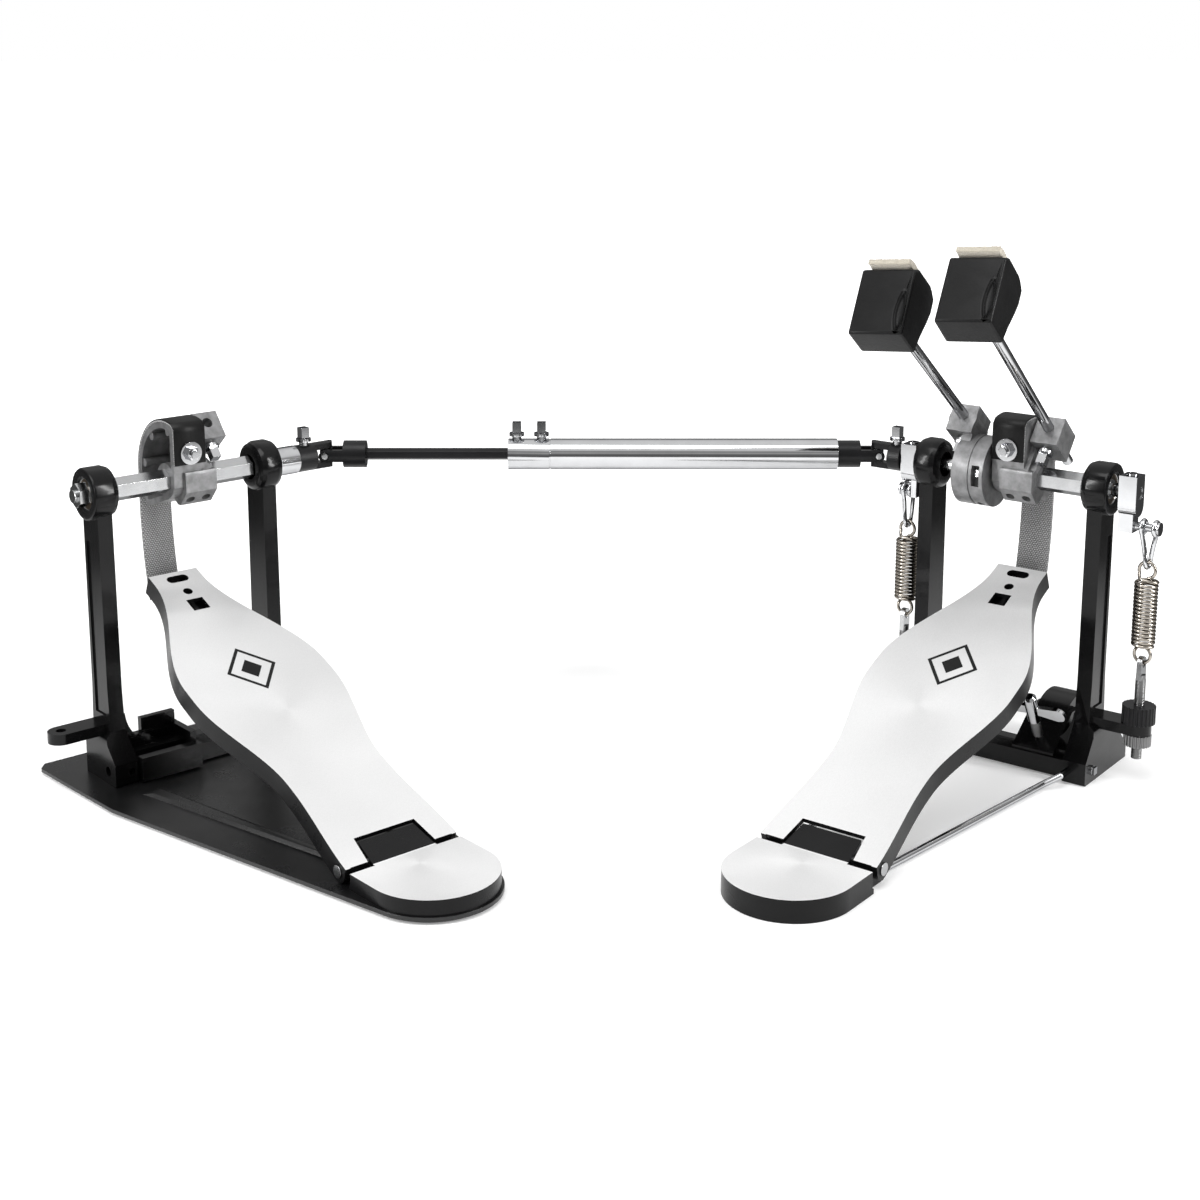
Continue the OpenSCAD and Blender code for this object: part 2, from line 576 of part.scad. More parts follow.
module hub_drum() color(cast) at_main() difference() {
    union() {
        on_axle() rod_x(drum_in, drum_mid - drum_in, drum_r);
        on_lean(hub_rod_u, left_lean) clamp_block(2, 23, 8.7, true);
        on_lean(0, left_lean) box(drum_in, -26.3, 5, rod_off - 6, 2, 20);
    }
    on_axle() rod_x(drum_in - 1, 8, journal_r);
    on_lean(hub_rod_u, left_lean) translate([0, rod_off - 12, 13]) rotate([-90, 0, 0])
        cylinder(h = 12, r = bore_screw);
    // room for the key bolt's head
    on_lean(hub_rod_u, left_lean) translate([0, rod_off - 11, 13]) rotate([90, 0, 0])
        cylinder(h = 16, r = 5.2);
}
module hub_cap() color(cast) at_main() difference() {
    union() {
        on_axle() rod_x(drum_mid, 1, drum_r - 0.6);
        on_axle() rod_x(drum_mid + 1, drum_out - drum_mid - 1, drum_r);
    }
    on_axle() rod_x(drum_mid - 1, 20, journal_r + 0.03);
    on_axle() rotate([-8, 0, 0]) box(drum_mid + 2.6, drum_out - 2.2, -24, -15.5, -9, 4);
    on_axle() rotate([60, 0, 0]) translate([cap_mid, -24, 0]) rotate([-90, 0, 0]) cylinder(h = 6, r = 2.4);
}
module left_clamp_bolt() color(chrome) at_main() {
    clamp_bolt(hub_rod_u, left_lean);
    on_axle() rotate([-8, 0, 0]) translate([cap_mid, -15.5, -1]) rotate([90, 0, 0]) cylinder(h = 3, r = 2.2);
}
module left_beater_rod() color(chrome) at_main() beater_rod(hub_rod_u, left_lean, left_reach);
module left_beater_head() color(black) at_main() beater_head(hub_rod_u, left_lean, left_reach);
module left_beater_felt() color(cream) at_main() beater_felt(hub_rod_u, left_lean, left_reach);

// ---------- main pedal ----------
module main_frame() color(black) at_main() difference() {
    union() {
        casting(0, true, 37);
        // lower jaw of the hoop clamp and the cheeks of its block
        box(clamp_u - 14, clamp_u + 14, -20, 52, 2, 8);
        side(clamp_u - 13.5, 27) polygon([[-20.5, 3], [-20.5, 14], [6, 33], [17, 33], [22, 26], [22, 3]]);
    }
    // slot for the rocker
    box(clamp_u - 10.3, clamp_u + 10.3, -3, 30, 8, 60);
    translate([0, rocker_v, rocker_w]) rod_x(clamp_u - 20, 40, 2.5);
    // threaded hole of the wing bolt
    translate([clamp_u, -10.5, 17]) rotate([wing_tilt, 0, 0])
        cylinder(h = 40, r = bore_screw + fit, center = true);
}
module main_bearings() color(steel) at_main() bearing_pair();
module main_heel_plate() color(bright) at_main() difference() {
    heel_plate(0);
    // channels for the radius rod
    box(-31, 31, hinge_v - 14, hinge_v - 9.5, -1, 5.2);
    for (s = [-1, 1]) box(s * 28.7 - 2.3, s * 28.7 + 2.3, hinge_v - 14, 0, -1, 5.2);
}
module radius_rod() color(chrome) at_main() {
    heel = [28.7, hinge_v - 11.8, 3];
    for (s = [-1, 1]) {
        foot = [(s > 0 ? foot_u : inner_foot) - 11, -13, 8];
        bends = [[foot.x, -37, 8], [foot.x - 7, -46, 4], [heel.x, hinge_v + 25, 3], heel];
        route = concat([foot], bends);
        mirror([s > 0 ? 0 : 1, 0, 0]) {
            for (i = [0 : 3]) wire(route[i], route[i + 1], 2);
            for (p = bends) translate(p) sphere(r = 2, $fn = 24);
        }
    }
    wire([-heel.x, heel.y, heel.z], heel, 2);
}
module foot_screws() color(chrome) at_main() for (s = [-1, 1]) mirror([s > 0 ? 0 : 1, 0, 0]) {
    face = s > 0 ? foot_u : inner_foot;
    translate([0, -16.5, 8]) rod_x(face - 8.5, 9.7, bore_screw - fit);
    translate([face + 1.4, -16.5, 8]) cube([2.6, 4.4, 4.4], center = true);
}
module main_footboard() color(bright) at_main() footboard();
module main_hinge_pin() color(steel) at_main() hinge_pin();
module main_axle() color(steel) at_main() {
    on_axle() hex_x(-9.8, post_u - 9 + 9.8, hex_af);
    on_axle() rod_x(-20.5, 20.5 + 79.5, journal_r);
}
module main_cam() color(cast) at_main() cam();
module main_cam_bolt() color(chrome) at_main() cam_bolt();
module main_strap() color(grey) at_main() strap();
module right_clamp_bolt() color(chrome) at_main() clamp_bolt(rod_u, right_lean);
module outer_crank() color(chrome) at_main() crank(69, 80, 9, 92);
module right_beater_rod() color(chrome) at_main() beater_rod(rod_u, right_lean, right_reach);
module right_beater_head() color(black) at_main() beater_head(rod_u, right_lean, right_reach);
module right_beater_felt() color(cream) at_main() beater_felt(rod_u, right_lean, right_reach);
module outer_link() color(chrome) at_main() link(outer_spring_u, 3.8);
module outer_spring() color(steel) at_main() coil(outer_spring_u, 17, 128.2);
module outer_hook() color(steel) at_main() hook(outer_spring_u);
module outer_stud() color(steel) at_main() stud(outer_spring_u);
module outer_top_nut() color(black) at_main() knurled(outer_spring_u, lug_w + lug_t + 0.2, 11, 10);
module inner_link() color(chrome) at_main() link(-inner_spring_u, 2.3);
module inner_spring() color(steel) at_main() coil(-inner_spring_u, 17, 128.2);
module inner_hook() color(steel) at_main() hook(-inner_spring_u);
module inner_stud() color(steel) at_main() stud(-inner_spring_u);
module inner_top_nut() color(black) at_main() knurled(-inner_spring_u, lug_w + lug_t + 0.2, 11, 10);
// Rocker that presses on the drum's hoop, turning on its own trunnions
module hoop_clamp() color(black) at_main() {
    side(clamp_u - 9.9, 19.8) {
        difference() {
            union() {
                intersection() {
                    translate([24, 8]) circle(r = 31);
                    translate([-2, 18]) square([70, 30]);
                }
                translate([44, 17]) square([11, 12]);
            }
            translate([26, 4]) circle(r = 24);
        }
        translate([rocker_v, rocker_w]) circle(r = 6);
    }
    translate([0, rocker_v, rocker_w]) rod_x(clamp_u - 13.5, 27, 2.5 - fit);
}
module wing_bolt() color(chrome) at_main() translate([clamp_u, -10.5, 17]) rotate([wing_tilt, 0, 0]) {
    translate([0, 0, -8]) cylinder(h = 32, r = bore_screw - fit);
    translate([0, 0, 18]) cylinder(h = 19, r = 4);
    translate([0, 0, 37]) cylinder(h = 1.5, r1 = 4, r2 = 2.6);
    translate([0, 1.3, 27]) rotate([90, 0, 0]) linear_extrude(2.6) {
        polygon([[-17, -4.6], [-4, -3], [4, -3], [17, -4.6], [17, 4.6], [4, 3], [-4, 3], [-17, 4.6]]);
        for (s = [-1, 1]) translate([s * 17, 0]) circle(r = 4.6);
    }
}

slave_base_plate();
slave_base_pad();
slave_frame();
slave_heel_plate();
slave_bearings();
slave_footboard();
slave_hinge_pin();
slave_axle();
slave_cam();
slave_cam_bolt();
slave_strap();
slave_clamp_bolt();
slave_collar();
slave_yoke();
slave_yoke_bolt();
slave_cross();
rod_yoke();
drive_rod();
drive_tube();
tube_bolts();
tube_yoke();
main_cross();
hub_yoke();
hub_yoke_bolt();
stub_shaft();
inner_crank();
hub_drum();
hub_cap();
left_clamp_bolt();
left_beater_rod();
left_beater_head();
left_beater_felt();
main_frame();
main_bearings();
main_heel_plate();
radius_rod();
foot_screws();
main_footboard();
main_hinge_pin();
main_axle();
main_cam();
main_cam_bolt();
main_strap();
right_clamp_bolt();
outer_crank();
right_beater_rod();
right_beater_head();
right_beater_felt();
outer_link();
outer_spring();
outer_hook();
outer_stud();
outer_top_nut();
inner_link();
inner_spring();
inner_hook();
inner_stud();
inner_top_nut();
hoop_clamp();
wing_bolt();
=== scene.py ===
"""Double bass drum pedal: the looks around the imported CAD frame."""

import json
import math
import random

import bpy
from mathutils import Matrix, Vector, noise


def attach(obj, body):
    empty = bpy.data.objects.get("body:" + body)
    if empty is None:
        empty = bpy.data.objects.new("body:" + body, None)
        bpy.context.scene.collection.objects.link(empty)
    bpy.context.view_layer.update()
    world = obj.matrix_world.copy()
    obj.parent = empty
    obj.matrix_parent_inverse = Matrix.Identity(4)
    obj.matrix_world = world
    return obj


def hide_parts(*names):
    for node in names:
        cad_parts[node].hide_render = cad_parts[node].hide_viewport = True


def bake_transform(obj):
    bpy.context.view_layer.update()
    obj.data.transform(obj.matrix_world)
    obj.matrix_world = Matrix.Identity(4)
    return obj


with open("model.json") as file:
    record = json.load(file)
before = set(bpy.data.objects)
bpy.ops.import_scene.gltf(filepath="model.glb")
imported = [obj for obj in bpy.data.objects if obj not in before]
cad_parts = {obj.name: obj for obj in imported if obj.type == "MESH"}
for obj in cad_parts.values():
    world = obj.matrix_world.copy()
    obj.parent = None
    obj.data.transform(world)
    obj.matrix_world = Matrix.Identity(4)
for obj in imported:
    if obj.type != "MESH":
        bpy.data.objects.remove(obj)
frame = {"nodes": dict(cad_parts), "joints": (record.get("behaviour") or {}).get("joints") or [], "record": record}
scene = bpy.context.scene
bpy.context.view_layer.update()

MM = 0.001
ACROSS, AHEAD, UP = (1, 0, 0), (0, 1, 0), (0, 0, 1)
JOINTS = {j["name"]: j for j in frame["joints"]}
NODES = frame["nodes"]
SLOTS = {p["node"]: p["material_slot"] for p in frame["record"]["subparts"]}


def pedal(joint):
    """A pedal's frame in metres: across, towards the drum, up; on the floor under its axle."""
    across = -Vector(JOINTS[joint]["axis"])
    ahead = Vector(UP).cross(across)
    place = Matrix((across, ahead, UP)).transposed().to_4x4()
    place.translation = Vector(JOINTS[joint]["pos_m"]) * Vector((1, 1, 0))
    return place


def shifted(place, *at):
    """The frame place, moved by at millimetres along its own axes."""
    return place @ Matrix.Translation(Vector(at) * MM)


def tilted(place, angle, *at):
    """The frame place, moved by at millimetres, then turned about its own x axis."""
    return shifted(place, *at) @ Matrix.Rotation(angle, 4, "X")


SLAVE = pedal("slave_axle_turn")
MAIN = pedal("main_axle_turn")
PEDALS = {"slave": SLAVE, "main": MAIN}
AXLE = JOINTS["main_axle_turn"]["pos_m"][2] / MM

# Sizes of the CAD model, in millimetres and radians
BOARD_TILT = math.radians(22.7)
HINGE_V = -230.4
HEEL_TOP = 13.0
CAM_R = 33.5
CAM_UP = 2.5
CAM_FLAT = -11.0
CAGE_R = 6.1, 9.15
STRAP_W = 21.0
STRAP_T = 2.0
STRAP_GAP = 0.05
ROD_OFF = 25.0
HEAD_TWIST = math.radians(5.2)
CRANK_R = 20.0
STUD_LOW, STUD_TOP = 16, 66
BOLT_AT, BOLT_TILT = (29, -10.5, 17), math.radians(29)
BOLT_THREAD_START, BOLT_THREAD_LENGTH = 5, 13
# Each beater's place across the main pedal, its lean, and its head's reach along the rod
BEATERS = {"right": (20, math.radians(50), 146), "left": (-35, math.radians(53), 137)}
# Each return spring's place across the main pedal
SPRINGS = {"outer": 87.0, "inner": -73.0}


# ---------- shader helpers ----------
class Shader:
    """A principled material, with short ways to add nodes to it."""

    def __init__(self, name, color, rough, metal=0.0, **fixed):
        self.material = bpy.data.materials.new(name)
        self.material.use_nodes = True
        self.tree = self.material.node_tree
        self.bsdf = self.tree.nodes["Principled BSDF"]
        self.color = Vector(color)
        self.rough = rough
        self.set(Base_Color=(*color, 1), Roughness=rough, Metallic=metal, **fixed)
        self.coords = self.add("ShaderNodeTexCoord").outputs["Object"]

    def set(self, **values):
        for name, value in values.items():
            self.put(self.bsdf.inputs[name.replace("_", " ")], value)
        return self

    def put(self, socket, value):
        if isinstance(value, bpy.types.NodeSocket):
            self.tree.links.new(value, socket)
        else:
            socket.default_value = value

    def add(self, kind, props=(), **values):
        node = self.tree.nodes.new(kind)
        for name, value in dict(props).items():
            setattr(node, name, value)
        for name, value in values.items():
            self.put(node.inputs[name.replace("_", " ")], value)
        return node

    def along(self, yaw, tilt, scale):
        """Coordinates turned into a board's own frame and divided by scale."""
        return self.add("ShaderNodeMapping", {"vector_type": "TEXTURE"}, Vector=self.coords,
                        Rotation=(tilt, 0, yaw), Scale=scale).outputs[0]

    def noise(self, scale, detail=3.0, rough=0.55, coords=None, distortion=0.0):
        return self.add("ShaderNodeTexNoise", Vector=coords or self.coords, Scale=scale, Detail=detail,
                        Roughness=rough, Distortion=distortion).outputs["Fac"]

    def ramp(self, fac, *stops):
        node = self.add("ShaderNodeValToRGB", Fac=fac)
        while len(node.color_ramp.elements) < len(stops):
            node.color_ramp.elements.new(0.5)
        for element, (at, value) in zip(node.color_ramp.elements, stops):
            element.position = at
            element.color = (*value, 1) if hasattr(value, "__len__") else (value, value, value, 1)
        return node.outputs["Color"]

    def span(self, fac, low, high, a=0.3, b=0.7):
        """From low to high while fac goes from a to b."""
        return self.add("ShaderNodeMapRange", Value=fac, From_Min=a, From_Max=b,
                        To_Min=low, To_Max=high).outputs[0]

    def math(self, how, a, b=0.0):
        node = self.add("ShaderNodeMath", {"operation": how})
        self.put(node.inputs[0], a)
        self.put(node.inputs[1], b)
        return node.outputs[0]

    def mottled(self, scale, tone):
        """Cloudy change of tone: the colour between (1 - tone) and (1 + tone) of itself."""
        return self.set(Base_Color=self.ramp(self.noise(scale, 4.0), (0.3, self.color * (1 - tone)),
                                             (0.7, self.color * (1 + tone))))

    def worn(self, scale, spread):
        """Cloudy change of roughness."""
        return self.set(Roughness=self.span(self.noise(scale, 5.0), self.rough - spread, self.rough + spread))

    def bumped(self, height, depth, strength=1.0):
        bump = self.add("ShaderNodeBump", Strength=strength, Distance=depth, Height=height)
        return self.set(Normal=bump.outputs[0])


def coating(name, color, rough, grain, depth, **fixed):
    """Powder coat or moulded plastic: mottled, with a fine orange-peel surface."""
    s = Shader(name, color, rough, **fixed)
    return s.mottled(60, 0.25).worn(35, 0.06).bumped(s.noise(grain, 2.0), depth).material


def plated(name, color, rough, grain=1400, depth=0.000004, spread=0.03, **fixed):
    """Plated or polished metal: faint smudges and a very fine surface."""
    s = Shader(name, color, rough, 1.0, **fixed)
    return s.mottled(90, 0.05).worn(70, spread).bumped(s.noise(grain, 2.0), depth).material


def brushed(name, place, tilt, tone):
    """Satin aluminium sheet: a very fine grain along the board, with specks and clouds in it."""
    rough, yaw = 0.56, place.to_euler().z
    s = Shader(name, (tone, tone, tone), rough, 0.72, Anisotropic=0.25)
    fine = s.noise(1.0, 3.0, 0.7, s.along(yaw, tilt, (0.0002, 0.0016, 0.0002)))
    speck = s.noise(2600, 2.0)
    cloud = s.noise(22, 4.0)
    grain = s.math("ADD", s.math("MULTIPLY", fine, 0.6), s.math("MULTIPLY", speck, 0.4))
    s.set(Base_Color=s.ramp(grain, (0.3, s.color * 0.9), (0.68, s.color * 1.06)))
    s.set(Roughness=s.math("ADD", s.span(cloud, -0.06, 0.06), s.span(grain, rough - 0.05, rough + 0.06)))
    return s.bumped(grain, 0.00003, 0.4).material


def webbing(name, color, across, along_it):
    """Woven strap: rows of crossing yarns in the piece's own UV, in millimetres."""
    s = Shader(name, color, 0.85, Sheen_Weight=0.15)
    flat = s.add("ShaderNodeUVMap").outputs[0]
    part = s.add("ShaderNodeSeparateXYZ", Vector=flat).outputs
    row = s.math("DIVIDE", part["Y"], along_it)
    stagger = s.math("MULTIPLY", s.math("FLOOR", row), 0.5)
    column = s.math("ADD", s.math("DIVIDE", part["X"], across), stagger)
    yarn = s.math("MULTIPLY", s.math("SINE", s.math("MULTIPLY", s.math("FRACT", column), math.pi)),
                  s.math("SINE", s.math("MULTIPLY", s.math("FRACT", row), math.pi)))
    fuzz = s.noise(2600, 3.0)
    tone = s.math("ADD", s.math("MULTIPLY", yarn, 0.75), s.math("MULTIPLY", fuzz, 0.25))
    s.set(Base_Color=s.ramp(tone, (0.15, s.color * 0.22), (0.6, s.color * 1.25)))
    return s.bumped(tone, 0.0004).material


def felted(name, color):
    """Pressed wool: cloudy colour, matted fibres and a soft sheen."""
    s = Shader(name, color, 0.95, Sheen_Weight=0.5, Sheen_Roughness=0.6, Specular_IOR_Level=0.2)
    matted = s.noise(850, 5, 0.7, distortion=2.0)
    s.set(Base_Color=s.ramp(matted, (0.3, s.color * 0.78), (0.68, s.color * 1.1)))
    return s.bumped(matted, 0.0007, 0.9).material


GLOSS_BLACK = coating("gloss_black", (0.0035, 0.0035, 0.0037), 0.2, 420, 0.00002, Specular_IOR_Level=0.17,
                      Coat_Weight=0.1, Coat_Roughness=0.05)
PLATE_BLACK = coating("plate_black", (0.0045, 0.0045, 0.0048), 0.3, 1900, 0.00005, Specular_IOR_Level=0.5)
SKIRT_BLACK = coating("skirt_black", (0.004, 0.004, 0.0043), 0.3, 900, 0.00003, Specular_IOR_Level=0.18)
OXIDE = coating("black_oxide", (0.006, 0.006, 0.0066), 0.34, 1500, 0.00004, Specular_IOR_Level=0.24)
RUBBER = coating("pad_rubber", (0.01, 0.01, 0.01), 0.75, 1100, 0.00012, Specular_IOR_Level=0.2)
CHROME = plated("chrome", (0.62, 0.625, 0.635), 0.06, Specular_Tint=(0.15, 0.15, 0.16, 1))
STEEL = plated("steel", (0.54, 0.545, 0.55), 0.17, 500, 0.00001, 0.06, Specular_Tint=(0.2, 0.2, 0.2, 1))
NICKEL = plated("nickel_wire", (0.42, 0.385, 0.34), 0.2, 900, 0.00001, 0.05, Specular_Tint=(0.1, 0.1, 0.1, 1))
CAGE = plated("bearing_cage", (0.16, 0.125, 0.09), 0.34, 900, 0.00002, 0.08)
CAST = Shader("cast_alloy", (0.24, 0.24, 0.243), 0.44, 0.8)
CAST.mottled(180, 0.25).worn(120, 0.09).bumped(CAST.noise(1300, 4.0, 0.7), 0.00012)
CAST = CAST.material
BOARD_FACE = {side: brushed(side + "_board_top", place, BOARD_TILT, 0.74) for side, place in PEDALS.items()}
HEEL_FACE = {side: brushed(side + "_heel_top", place, 0, 0.84) for side, place in PEDALS.items()}
PRINT = coating("black_print", (0.006, 0.006, 0.006), 0.45, 1500, 0.00001, Specular_IOR_Level=0.2)
HEAD = coating("head_plastic", (0.006, 0.006, 0.0062), 0.36, 700, 0.00006, Specular_IOR_Level=0.16)
WEB_GREY = webbing("strap_grey", (0.28, 0.28, 0.28), 1.7, 1.25)
WEB_BLACK = coating("strap_black", (0.005, 0.005, 0.005), 0.4, 900, 0.00006, Specular_IOR_Level=0.2)
FELT = felted("felt_cream", (0.5, 0.455, 0.37))
CUT = plated("cut_thread", (0.2, 0.2, 0.2), 0.3, 900, 0.00002, 0.06)

BY_SLOT = {
    "gloss_casting": GLOSS_BLACK, "black_plate": PLATE_BLACK, "board_alloy": SKIRT_BLACK, "cast_alloy": CAST,
    "chrome": CHROME, "steel": STEEL, "spring_steel": NICKEL, "black_oxide": OXIDE, "strap_web": WEB_GREY,
    "head_plastic": HEAD, "felt": FELT, "pad_rubber": RUBBER,
}

for name, node in NODES.items():
    node.data.materials.clear()
    node.data.materials.append(BY_SLOT[SLOTS[name]])


def edged(node, width, clamp):
    """Rounds a CAD node's edges a little and evens its shading."""
    weld = node.modifiers.new("weld", "WELD")
    weld.merge_threshold = 0.000004
    bevel = node.modifiers.new("bevel", "BEVEL")
    bevel.width = width * MM
    bevel.segments = 2
    bevel.limit_method = "ANGLE"
    bevel.angle_limit = math.radians(35)
    bevel.use_clamp_overlap = clamp
    bevel.miter_outer = "MITER_ARC"
    node.modifiers.new("even", "WEIGHTED_NORMAL")


# Edge roundings in millimetres. The hub drum's flutes keep sharp edges, and only the heads' small
# faces need their rounding unclamped.
EDGES = {"gloss_casting": 0.7, "cast_alloy": 0.5, "head_plastic": 1.5, "board_alloy": 0.5,
         "black_plate": 0.3, "black_oxide": 0.35, "chrome": 0.25, "steel": 0.2}
for name, node in NODES.items():
    if SLOTS[name] in EDGES and name != "hub_drum":
        edged(node, EDGES[SLOTS[name]], clamp=SLOTS[name] != "head_plastic")


def refinish(node, plane, second, chosen):
    """Gives the material second to the faces for which chosen(middle, normal) holds in the frame plane."""
    mesh = NODES[node].data
    mesh.materials.append(second)
    inverse = plane.inverted()
    turn = inverse.to_3x3()
    for p in mesh.polygons:
        if chosen(inverse @ p.center / MM, turn @ p.normal):
            p.material_index = 1


def on_top(middle, normal):
    return normal.z > 0.98 and middle.z > -0.3


def in_cage(middle, _):
    return CAGE_R[0] < math.hypot(middle.y, middle.z) < CAGE_R[1]


def on_shank(middle, _):
    return middle.z < STUD_TOP


for side, place in PEDALS.items():
    refinish(side + "_footboard", tilted(place, BOARD_TILT, 0, HINGE_V, HEEL_TOP), BOARD_FACE[side], on_top)
    refinish(side + "_heel_plate", shifted(place, 0, 0, HEEL_TOP), HEEL_FACE[side], on_top)
    refinish(side + "_bearings", shifted(place, 0, 0, AXLE), CAGE, in_cage)
for side in SPRINGS:
    refinish(side + "_stud", MAIN, CUT, on_shank)


# ---------- pieces ----------
def piece(name, place, points, faces, materials, slot_name, uv=None, finish=None, smooth=True):
    """A mesh from points in millimetres in the frame place; uv and finish are per point and per face."""
    mesh = bpy.data.meshes.new(name)
    mesh.from_pydata([place @ (Vector(q) * MM) for q in points], [], faces)
    for material in materials:
        mesh.materials.append(material)
    if uv:
        layer = mesh.uv_layers.new(name="flat")
        for loop in mesh.loops:
            layer.data[loop.index].uv = uv[loop.vertex_index]
    for p in mesh.polygons:
        p.use_smooth = smooth
        if finish:
            p.material_index = finish[p.index]
    obj = bpy.data.objects.new(name, mesh)
    scene.collection.objects.link(obj)
    return obj


def skin(rings):
    """Points and faces over a row of rings of equal length, with both ends capped."""
    n = len(rings[0])
    points = [q for ring in rings for q in ring]
    faces = []
    for i in range(len(rings) - 1):
        for k in range(n):
            m = (k + 1) % n
            faces.append((i * n + k, i * n + m, (i + 1) * n + m, (i + 1) * n + k))
    faces += [tuple(reversed(range(n))), tuple(range(len(points) - n, len(points)))]
    return points, faces


def along_line(line, i):
    """The direction of a line at its point i."""
    return (line[min(i + 1, len(line) - 1)] - line[max(i - 1, 0)]).normalized()


def curved(points, steps):
    """A smooth line through all the points."""
    line = []
    ends = [2 * points[0] - points[1], *points, 2 * points[-1] - points[-2]]
    for a, b, c, d in zip(ends, ends[1:], ends[2:], ends[3:]):
        for k in range(steps):
            t = k / steps
            line.append(0.5 * (2 * b + (c - a) * t + (2 * a - 5 * b + 4 * c - d) * t ** 2
                               + (3 * b - a - 3 * c + d) * t ** 3))
    return line + [points[-1]]


def swept(line, radius, sides):
    """A round wire along a line, with slightly rounded ends."""
    rings = []
    across = (line[1] - line[0]).orthogonal().normalized()
    for i, q in enumerate(line):
        ahead = along_line(line, i)
        across = (across - ahead * across.dot(ahead)).normalized()
        other = ahead.cross(across)
        r = radius * (0.72 if i in (0, len(line) - 1) else 1.0)
        rings.append([q + (across * math.cos(a) + other * math.sin(a)) * r
                      for a in (2 * math.pi * k / sides for k in range(sides))])
    return skin(rings)


def on_circle(middle, radius, degrees, first, second):
    """A point on a circle that lies in the plane of the axes first and second."""
    a = math.radians(degrees)
    return Vector(middle) + (Vector(first) * math.cos(a) + Vector(second) * math.sin(a)) * radius


# Return springs: a close coil with an open loop at each end
COIL_TOP, COIL_BOTTOM, COIL_TURNS, PER_TURN = 127.2, 87.55, 17, 24
LOOP_R, TOP_LOOP, LOW_LOOP = 5.0, 134.0, 81.5
SPRING_R, WIRE_R = 6.2, 1.0


def spring(side, u):
    def loop(height, up):
        """The loop in the across-up plane, from beside the coil round to its open end."""
        return [on_circle((u, 0, height), LOOP_R, 180 - up * a, ACROSS, UP) for a in range(-20, 276, 12)]

    coil = []
    for i in range(COIL_TURNS * PER_TURN + 1):
        a = 2 * math.pi * i / PER_TURN
        height = COIL_TOP + (COIL_BOTTOM - COIL_TOP) * i / (COIL_TURNS * PER_TURN)
        coil.append(Vector((u + SPRING_R * math.cos(a), SPRING_R * math.sin(a), height)))
    top = [*reversed(loop(TOP_LOOP, 1)),
           Vector((u - 3.4, -2.6, COIL_TOP + 1.9)), Vector((u + 1.5, -5.4, COIL_TOP + 0.8))]
    low = [Vector((u + 1.5, 5.4, COIL_BOTTOM - 0.8)), Vector((u - 3.4, 2.6, COIL_BOTTOM - 1.9)),
           *loop(LOW_LOOP, -1)]
    line = curved(top, 2)[:-1] + curved([top[-1], *coil[::2], low[0]], 2)[1:-1] + curved(low, 2)
    obj = piece(side + "_spring_wire", MAIN, *swept(line, WIRE_R, 9), [NICKEL], "spring_steel")
    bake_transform(obj)
    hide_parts(side + "_spring", side + "_hook")


for side, u in SPRINGS.items():
    spring(side, u)


# Bent-wire shackles between the cranks' pins and the springs
EYE_R, SHACKLE_WIRE_R = 3.95, 1.4


def shackle(side, half):
    """One eye on each side of the crank, half millimetres out, and a leg down from each to the low bend."""
    pin = Vector((SPRINGS[side], 0, AXLE - CRANK_R))

    def eye(x, angles):
        return [on_circle(pin + Vector((x, 0, 0)), EYE_R, a, UP, AHEAD) for a in angles]

    leg = [(half * 0.7, 2.9, -7), (1.2, 2.6, -15), (0.4, 3.0, -20.5), (0.2, 2.1, -23.3)]
    line = curved([*eye(half, range(-170, 111, 20)), *(pin + Vector(q) for q in leg),
                   pin + Vector((0, 0, -24.2)), *(pin + Vector((-x, -y, z)) for x, y, z in reversed(leg)),
                   *eye(-half, range(-110, 171, 20))], 5)
    obj = piece(side + "_shackle", MAIN, *swept(line, SHACKLE_WIRE_R, 12), [CHROME], "chrome")
    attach(obj, side + "_pull")
    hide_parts(side + "_link")


shackle("outer", 3.8)
shackle("inner", 2.3)


# Straps: black smooth outside, grey woven inside
def strap(side, place):
    middle = Vector((0, 0, AXLE + CAM_UP))
    mid_r = CAM_R + STRAP_GAP + STRAP_T / 2
    bend = math.degrees(math.asin((CAM_FLAT - STRAP_T / 2) / mid_r))
    foot = Vector((0, CAM_FLAT - STRAP_T / 2, AXLE + 11))
    over = [on_circle(middle, mid_r, a, UP, AHEAD) for a in range(round(bend) + 4, 91, 3)]
    rise = [foot + Vector((0, 0, h)) for h in range(0, 23, 2)]
    toe = Vector((0, 27.5, AXLE - 82))

    def web(name, line, first_length):
        """The strap's closed section, carried along a line in the pedal's middle plane."""
        half, t, cut = STRAP_W / 2, STRAP_T / 2, 0.3
        section = [(-half + cut, -t), (half - cut, -t), (half, -t + cut), (half, t * 0.2), (half, t - cut),
                   (half - cut, t), (-half + cut, t), (-half, t - cut), (-half, t * 0.2), (-half, -t + cut)]
        black_sides = range(3, 8)
        rings, uv = [], []
        length = first_length
        for i, q in enumerate(line):
            out = Vector(ACROSS).cross(along_line(line, i))
            length += (q - line[i - 1]).length if i else 0
            rings.append([q + Vector((x, 0, 0)) + out * y for x, y in section])
            uv += [(x + y, length) for x, y in section]
        points, faces = skin(rings)
        finish = [int(i % len(section) in black_sides) for i in range(len(faces) - 2)] + [0, 0]
        return piece(name, place, points, faces, [WEB_GREY, WEB_BLACK], "strap_web", uv, finish), length

    wrap, length = web(side + "_strap_wrap", rise + over, 0)
    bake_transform(wrap)
    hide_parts(side + "_strap")
    hang = curved([over[-1], Vector((0, 34.6, AXLE - 30)), Vector((0, 32, AXLE - 58)), toe], 8)
    tail, _ = web(side + "_strap_tail", hang, length)
    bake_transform(tail)


for side, place in PEDALS.items():
    strap(side, place)


# Felts: pressed wool pads with stray fibres
FIBRES = 420


